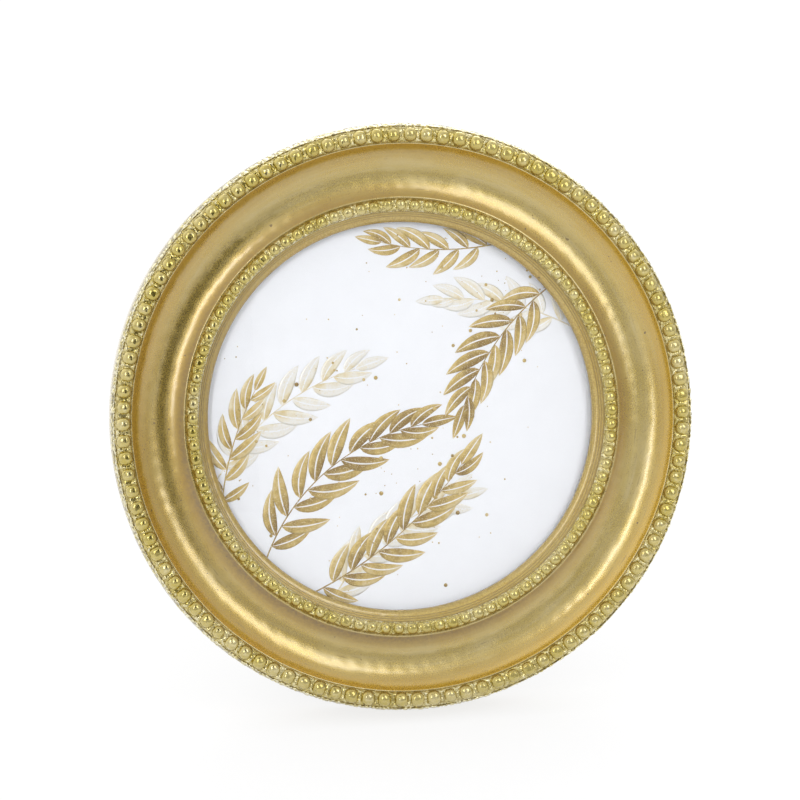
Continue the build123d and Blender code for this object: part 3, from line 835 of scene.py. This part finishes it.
paperFinish = dict(
    white=(0.93, 0.935, 0.945), shade=(0.88, 0.885, 0.895), fibre=(2600, 4.0, 0.65), mottle=(160, 2.0),
    shadeRange=(0.8, 1.4, 0.0, 0.5), gloss=(0.3, 0.7, 0.48, 0.62), bump=(0.15, 0.02),
)
inkFinish = dict(
    dark=(0.30, 0.19, 0.045), gold=(0.62, 0.45, 0.14), pale=(0.80, 0.70, 0.46), ghost=(0.86, 0.84, 0.78),
    plain=dict(Metallic=0.55), mottle=(420, 3.0, 0.6), grit=(3600, 2.0), mottleRange=(0.3, 0.7, -0.3, 0.3),
    goldRange=(0.25, 0.95), paleRange=(0.9, 1.7), ghostRange=(1.5, 2.1), ribRange=(0.05, 0.14, 1.0, 0.0),
    gritRange=(0.56, 0.68, 0.0, 0.7), gloss=(0.3, 0.7, 0.3, 0.5), bump=(0.2, 0.02),
)
cardFinish = dict(
    light=(0.42, 0.39, 0.34), dark=(0.22, 0.2, 0.17), pulp=(900, 4.0, 0.7), flecks=(1700, 1.0),
    pulpRange=(0.4, 0.75), fleckRange=(0.66, 0.72), gloss=0.9, bump=(0.3, 0.05),
)
flockFinish = dict(
   
    plain=dict(
        Sheen_Weight=0.35, Sheen_Roughness=0.45, Sheen_Tint=(0.55, 0.55, 0.58, 1), Specular_IOR_Level=0.15,
    ),
    black=(0.011, 0.011, 0.012), worn=(0.055, 0.054, 0.056), pile=(2600, 3.0, 0.7), brushed=(55, 3.0, 0.6),
    lint=(1500, 1.0), lintRange=(0.74, 0.77, 0.0, 0.6), brushedRange=(0.4, 0.7), pileRange=(0.3, 0.7),
    gloss=(0.3, 0.7, 0.85, 1.0), brushedHeight=0.6, bump=(0.5, 0.12),
)
zincFinish = dict(
    light=(0.60, 0.60, 0.59), dark=(0.40, 0.41, 0.42), warm=(0.62, 0.58, 0.48), spangleScale=520,
    cast=(240, 2.0), marks=(4200, 2.0, 0.6), spangleRange=(0.2, 0.8, 0.0, 0.6),
    warmRange=(0.45, 0.75, 0.0, 0.55), markGloss=(0.3, 0.7, 0.24, 0.40), castGloss=(0.4, 0.7, 0.0, 0.08),
    bump=(0.15, 0.03),
)


def paperWhite():
    # coated paper: almost even, with faint fibres
    look = paperFinish
    material, tree, shader = newMaterial("print_paper")
    fibre, mottle = noisesOf(tree, objectPlace(tree), look, "fibre", "mottle")
    share = remap(tree, total(tree, fibre, mottle), *look["shadeRange"])
    tone = mixColour(tree, share, look["white"], look["shade"])
    dress(tree, shader, look, tone, remap(tree, fibre, *look["gloss"]), fibre)
    return material


def foilInk():
    # metallic ink: dark at a leaf's foot, pale at its tip, with a bare midrib and a mottled body
    look = inkFinish
    material, tree, shader = newMaterial("foil_ink", **look["plain"])
    mottle, grit = noisesOf(tree, objectPlace(tree), look, "mottle", "grit")
    shade, lightness, offRib = (attributeOf(tree, name) for name in ("shade", "tone", "offRib"))
    depth = total(tree, shade, remap(tree, mottle, *look["mottleRange"]), lightness)
    tone = look["dark"]
    for name in ("gold", "pale", "ghost"):
        tone = mixColour(tree, remap(tree, depth, *look[name + "Range"]), tone, look[name])
    tone = mixColour(tree, remap(tree, offRib, *look["ribRange"]), tone, paperFinish["white"])
    tone = mixColour(tree, remap(tree, grit, *look["gritRange"]), tone, look["pale"])
    dress(tree, shader, look, tone, remap(tree, grit, *look["gloss"]), grit)
    return material


def clearGlass():
    # shadow rays pass straight through, so that the lamps light the print behind the pane
    material, tree, shader = newMaterial("clear_glass", Base_Color=(1, 1, 1, 1), Roughness=0.0, IOR=1.45,
                                         Transmission_Weight=1.0)
    blendShader(tree, addNode(tree, "LightPath", {})["Is Shadow Ray"], shader, "BsdfTransparent")
    return material


def greyCard():
    # recycled card: mixed fibres with darker flecks
    look = cardFinish
    material, tree, shader = newMaterial("grey_card")
    pulp, flecks = noisesOf(tree, objectPlace(tree), look, "pulp", "flecks")
    dark = largest(tree, remap(tree, pulp, *look["pulpRange"]), remap(tree, flecks, *look["fleckRange"]))
    dress(tree, shader, look, mixColour(tree, dark, look["light"], look["dark"]), look["gloss"], pulp)
    return material


def blackFlock():
    # short pile: soft sheen, brushed patches and fibre ends
    look = flockFinish
    material, tree, shader = newMaterial("black_flock", **look["plain"])
    pile, brushed, lint = noisesOf(tree, objectPlace(tree), look, "pile", "brushed", "lint")
    patches = product(tree, remap(tree, brushed, *look["brushedRange"]),
                      remap(tree, pile, *look["pileRange"]))
    worn = largest(tree, patches, remap(tree, lint, *look["lintRange"]))
    height = total(tree, pile, product(tree, brushed, look["brushedHeight"]))
    tone = mixColour(tree, worn, look["black"], look["worn"])
    dress(tree, shader, look, tone, remap(tree, brushed, *look["gloss"]), height)
    return material


def zincSteel():
    # plated steel: faint spangle, a warm passivation cast and fine handling marks
    look = zincFinish
    material, tree, shader = newMaterial("zinc_steel", Metallic=1.0)
    place = objectPlace(tree)
    cast, marks = noisesOf(tree, place, look, "cast", "marks")
    cells = addNode(tree, "TexVoronoi", dict(Vector=place, Scale=look["spangleScale"]))["Color"]
    flake = addNode(tree, "RGBToBW", {0: cells})[0]
    tone = mixColour(tree, remap(tree, flake, *look["spangleRange"]), look["light"], look["dark"])
    tone = mixColour(tree, remap(tree, cast, *look["warmRange"]), tone, look["warm"])
    gloss = total(tree, remap(tree, marks, *look["markGloss"]), remap(tree, cast, *look["castGloss"]))
    dress(tree, shader, look, tone, gloss, marks)
    return material


photoPaper.data.materials.append(paperWhite())
printedSprigs.data.materials.append(foilInk())
finishOf = dict(
    clear_glass=clearGlass(), grey_card=greyCard(), black_board=blackFlock(), zinc_steel=zincSteel(),
)
for entry in frame["record"]["subparts"]:
    if entry["material_slot"] in finishOf:
        node = frame["nodes"][entry["node"]]
        node.data.materials.clear()
        node.data.materials.append(finishOf[entry["material_slot"]])
print("materials:", len(bpy.data.materials))

# Stage, light and camera

stage = dict(floorSize=9.0, floorColour=(0.9, 0.9, 0.9, 1), whiteShare=0.8, glossyShare=0.6)
coolWhite, white = (0.96, 0.985, 1.05), (1.0, 1.0, 1.0)
lamps = [
    dict(name="rightSoftbox", around=40, off=34, distance=0.52, size=(0.17, 0.36), glow=2.4, tint=coolWhite),
    dict(name="leftStrip", around=150, off=30, distance=0.5, size=(0.06, 0.32), glow=5.6, tint=coolWhite),
    dict(name="rearFill", around=75, off=128, distance=1.2, size=(1.1, 0.7), glow=2.0, tint=white),
]
sky = dict(
    horizon=0.74, zenith=1.06, zenithFrom=0.9, sides=1.15, front=0.76, sideFrom=0.0, sideTo=0.55,
    leftGain=1.4, leftFrom=0.1, leftTo=-0.8, cameraSide=0.68, patchCore=0.988, patchEdge=0.95,
)
flag = dict(across=-47, up=16, out=105, width=58, height=90, tilt=45, colour=(0.05, 0.05, 0.05, 1))
camera = dict(
    azimuth=-9.5, aboveNormal=3.5, distance=1.1, field=0.1986, aimRight=-1.24, aimUp=4.45, sensor=36.0,
)

faceCentre = inRow(0, 0, outerStripLevel)
elevation, azimuth = math.radians(leanAngle + camera["aboveNormal"]), math.radians(camera["azimuth"])
towardsCamera = np.array((math.sin(azimuth) * math.cos(elevation), -math.cos(azimuth) * math.cos(elevation),
                          math.sin(elevation)))


def aimAt(thing, position, target):
    # a lamp or camera put in its place and turned to its target
    thing.location = Vector(position)
    thing.rotation_euler = (Vector(target) - Vector(position)).to_track_quat("-Z", "Y").to_euler()


def makeFloor():
    # a pale floor that camera, transmitted and partly glossy rays see almost as pure white, its shadow kept
    half = stage["floorSize"] / 2
    corners = np.array([(-half, -half, 0), (half, -half, 0), (half, half, 0), (-half, half, 0)])
    floor = meshPiece("floor", corners, np.array([[0, 1, 2, 3]]))
    material, tree, shader = newMaterial("pale_floor", Base_Color=stage["floorColour"], Roughness=0.9)
    path = addNode(tree, "LightPath", {})
    seen = total(tree, path["Is Camera Ray"], path["Is Transmission Ray"],
                 product(tree, path["Is Glossy Ray"], stage["glossyShare"]))
    share = product(tree, maths(tree, "MINIMUM", seen, 1.0), stage["whiteShare"])
    blendShader(tree, share, shader, "Emission")
    floor.data.materials.append(material)


def makeFlag():
    # a dark card before the left of the face, turned half away from it and seen only in reflections
    a, b = np.meshgrid(np.array((-0.5, 0.5)), np.array((-0.5, 0.5)), indexing="ij")
    slope = math.radians(flag["tilt"])
    points = inRow(flag["across"] + flag["width"] * math.cos(slope) * a, flag["up"] + flag["height"] * b,
                   flag["out"] - flag["width"] * math.sin(slope) * a)
    card = meshPiece("flag", points, gridFaces(2, 2))
    card.data.materials.append(newMaterial("black_card", Base_Color=flag["colour"], Roughness=0.9)[0])
    card.visible_camera = card.visible_diffuse = card.visible_shadow = card.visible_transmission = False


def makeLamp(lamp):
    # a softbox seen from the ring's face: so far round it, so far off its axis; its glow sets its power
    around, off = math.radians(lamp["around"]), math.radians(lamp["off"])
    sideWay = math.cos(around) * sideways + math.sin(around) * upward
    way = math.cos(off) * frontward + math.sin(off) * sideWay
    data = bpy.data.lights.new(lamp["name"], "AREA")
    data.shape = "RECTANGLE"
    data.size, data.size_y = lamp["size"]
    data.color = lamp["tint"]
    data.energy = lamp["glow"] * math.pi * lamp["size"][0] * lamp["size"][1]
    thing = bpy.data.objects.new(lamp["name"], data)
    bpy.context.scene.collection.objects.link(thing)
    aimAt(thing, faceCentre + way * lamp["distance"], faceCentre)


def makeSky():
    # a white tent, brighter overhead, beside the face and to the left,
    # with the dim room showing round the lens
    world = bpy.data.worlds.new("studio")
    bpy.context.scene.world = world
    world.use_nodes = True
    tree = world.node_tree
    way = addNode(tree, "TexCoord", {})["Generated"]

    def along(direction):
        # how far a ray points in a direction
        return addNode(tree, "VectorMath", {0: way, 1: tuple(direction)}, operation="DOT_PRODUCT")["Value"]

    height = remap(tree, along((0, 0, 1)), 0.0, sky["zenithFrom"], sky["horizon"], sky["zenith"])
    beside = remap(tree, along(frontward), sky["sideFrom"], sky["sideTo"], sky["sides"], sky["front"])
    left = remap(tree, along(sideways), sky["leftFrom"], sky["leftTo"], 1.0, sky["leftGain"])
    tent = product(tree, height, beside, left)
    clear = remap(tree, along(towardsCamera), sky["patchEdge"], sky["patchCore"], 1.0, 0.0)
    room = product(tree, maths(tree, "SUBTRACT", 1.0, clear), sky["cameraSide"])
    feed(tree, total(tree, product(tree, tent, clear), room), tree.nodes["Background"].inputs["Strength"])
    feed(tree, white, tree.nodes["Background"].inputs["Color"])


def makeCamera():
    # the camera stands a little to the left and above the face's axis; field is the width it sees at its aim
    cameraUp = np.array((0, 0, 1.0)) - towardsCamera * towardsCamera[2]
    cameraUp /= np.linalg.norm(cameraUp)
    cameraRight = np.cross(cameraUp, towardsCamera)
    aim = faceCentre + mm * (camera["aimUp"] * cameraUp + camera["aimRight"] * cameraRight)
    lens = bpy.data.cameras.new("camera")
    lens.sensor_width = camera["sensor"]
    lens.lens = camera["sensor"] * camera["distance"] / camera["field"]
    eye = bpy.data.objects.new("camera", lens)
    bpy.context.scene.collection.objects.link(eye)
    aimAt(eye, aim + towardsCamera * camera["distance"], aim)
    bpy.context.scene.camera = eye


makeFloor()
makeFlag()
for lamp in lamps:
    makeLamp(lamp)
makeSky()
makeCamera()
bpy.context.scene.view_settings.view_transform = "Standard"

print("ready to render")
